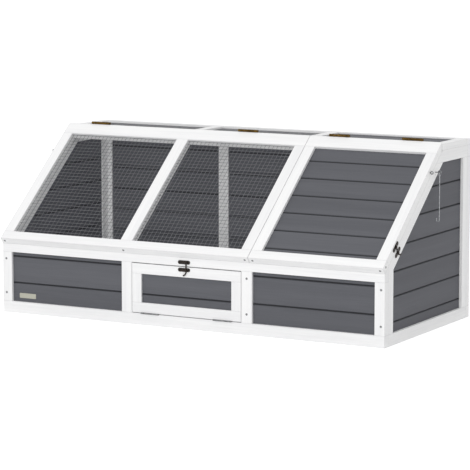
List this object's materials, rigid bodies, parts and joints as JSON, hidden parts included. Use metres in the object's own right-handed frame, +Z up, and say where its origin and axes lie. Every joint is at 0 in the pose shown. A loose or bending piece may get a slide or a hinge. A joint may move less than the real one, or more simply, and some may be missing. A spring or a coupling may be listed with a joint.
{
  "type": "tortoise enclosure",
  "caption": "Low timber tortoise house with a sloped front: netted hinged lid over a run, boarded hinged lid over a sleeping room, drop-down front door, hooks and stays.",
  "frame": {"origin": "on the ground under the middle of the overall box", "axes": "+X along the front to the viewer's right, +Y from the low front wall to the tall rear wall, +Z up"},
  "size_m": [1.2158, 0.561, 0.511],
  "materials": {
    "white_wood": "satin white paint on planed pine",
    "grey_wood": "satin slate grey paint on planed pine boards",
    "mesh_wire": "galvanised wire",
    "hinge_brass": "antiqued brass plate",
    "latch_bronze": "dark bronzed plate",
    "zinc_wire": "zinc plated wire",
    "zinc_screw": "zinc plated steel"
  },
  "bodies": {
    "root": {"front_bottom_rail": "white_wood", "front_top_rail": "white_wood", "front_stiles": "white_wood", "door_jambs": "white_wood", "left_side_rails": "white_wood", "left_side_slope_rail": "white_wood", "left_side_stiles": "white_wood", "right_side_rails": "white_wood", "right_side_slope_rail": "white_wood", "right_side_stiles": "white_wood", "rear_rails": "white_wood", "rear_uprights": "white_wood", "roof_rails": "white_wood", "roof_bars": "white_wood", "partition_posts": "white_wood", "partition_rails": "white_wood", "partition_top_rail": "white_wood", "front_boards_left": "grey_wood", "front_boards_right": "grey_wood", "left_side_boards": "grey_wood", "right_side_boards": "grey_wood", "rear_boards": "grey_wood", "roof_boards": "grey_wood", "partition_boards": "grey_wood", "roof_net_left": "mesh_wire", "roof_net_middle": "mesh_wire", "roof_hinge_leaves": "hinge_brass", "front_hinge_leaves": "hinge_brass", "hinge_pins": "hinge_brass", "door_latch_keeper": "latch_bronze", "side_latch_plates": "latch_bronze", "rail_eyes": "zinc_wire", "frame_screws": "zinc_screw"},
    "left_lid": {"left_lid_rails": "white_wood", "left_lid_stiles": "white_wood", "left_lid_net_outer": "mesh_wire", "left_lid_net_inner": "mesh_wire", "left_lid_hinge_leaves": "hinge_brass", "left_latch_keeper": "latch_bronze", "left_lid_eye": "zinc_wire", "left_lid_screws": "zinc_screw"},
    "right_lid": {"right_lid_rails": "white_wood", "right_lid_stiles": "white_wood", "right_lid_boards": "grey_wood", "right_lid_hinge_leaves": "hinge_brass", "right_latch_keeper": "latch_bronze", "right_lid_eye": "zinc_wire", "right_lid_screws": "zinc_screw"},
    "front_door": {"door_rails": "white_wood", "door_stiles": "white_wood", "door_boards": "grey_wood", "door_hinge_leaves": "hinge_brass", "door_latch_plate": "latch_bronze", "door_screws": "zinc_screw"},
    "left_lid_hook": {"left_latch_hook": "latch_bronze"},
    "right_lid_hook": {"right_latch_hook": "latch_bronze"},
    "door_hook": {"door_latch_hook": "latch_bronze"},
    "left_stay": {"left_stay_hook": "zinc_wire"},
    "right_stay": {"right_stay_hook": "zinc_wire"}
  },
  "joints": [
    {"name": "left_lid_hinge", "type": "hinge", "parent": "root", "child": "left_lid", "pos_m": [-0.241, 0.08489, 0.5075], "axis": [-1, 0, 0], "range_deg": [0, 218]},
    {"name": "right_lid_hinge", "type": "hinge", "parent": "root", "child": "right_lid", "pos_m": [0.3945, 0.08489, 0.5075], "axis": [-1, 0, 0], "range_deg": [0, 218]},
    {"name": "front_door_hinge", "type": "hinge", "parent": "root", "child": "front_door", "pos_m": [0, -0.26958, 0.0329], "axis": [1, 0, 0], "range_deg": [0, 97]},
    {"name": "door_hook_pivot", "type": "hinge", "parent": "front_door", "child": "door_hook", "pos_m": [0.002, -0.26748, 0.1615], "axis": [0, 1, 0], "range_deg": [0, 120]},
    {"name": "left_lid_hook_pivot", "type": "hinge", "parent": "root", "child": "left_lid_hook", "pos_m": [-0.59, -0.1931, 0.24145], "axis": [1, 0, 0], "range_deg": [0, 110]},
    {"name": "right_lid_hook_pivot", "type": "hinge", "parent": "root", "child": "right_lid_hook", "pos_m": [0.59, -0.1931, 0.24145], "axis": [1, 0, 0], "range_deg": [0, 110]},
    {"name": "left_stay_swing", "type": "hinge", "parent": "root", "child": "left_stay", "pos_m": [-0.6022, 0.04381, 0.42264], "axis": [-1, 0, 0], "range_deg": [0, 149]},
    {"name": "right_stay_swing", "type": "hinge", "parent": "root", "child": "right_stay", "pos_m": [0.6022, 0.04381, 0.42264], "axis": [-1, 0, 0], "range_deg": [0, 149]}
  ]
}
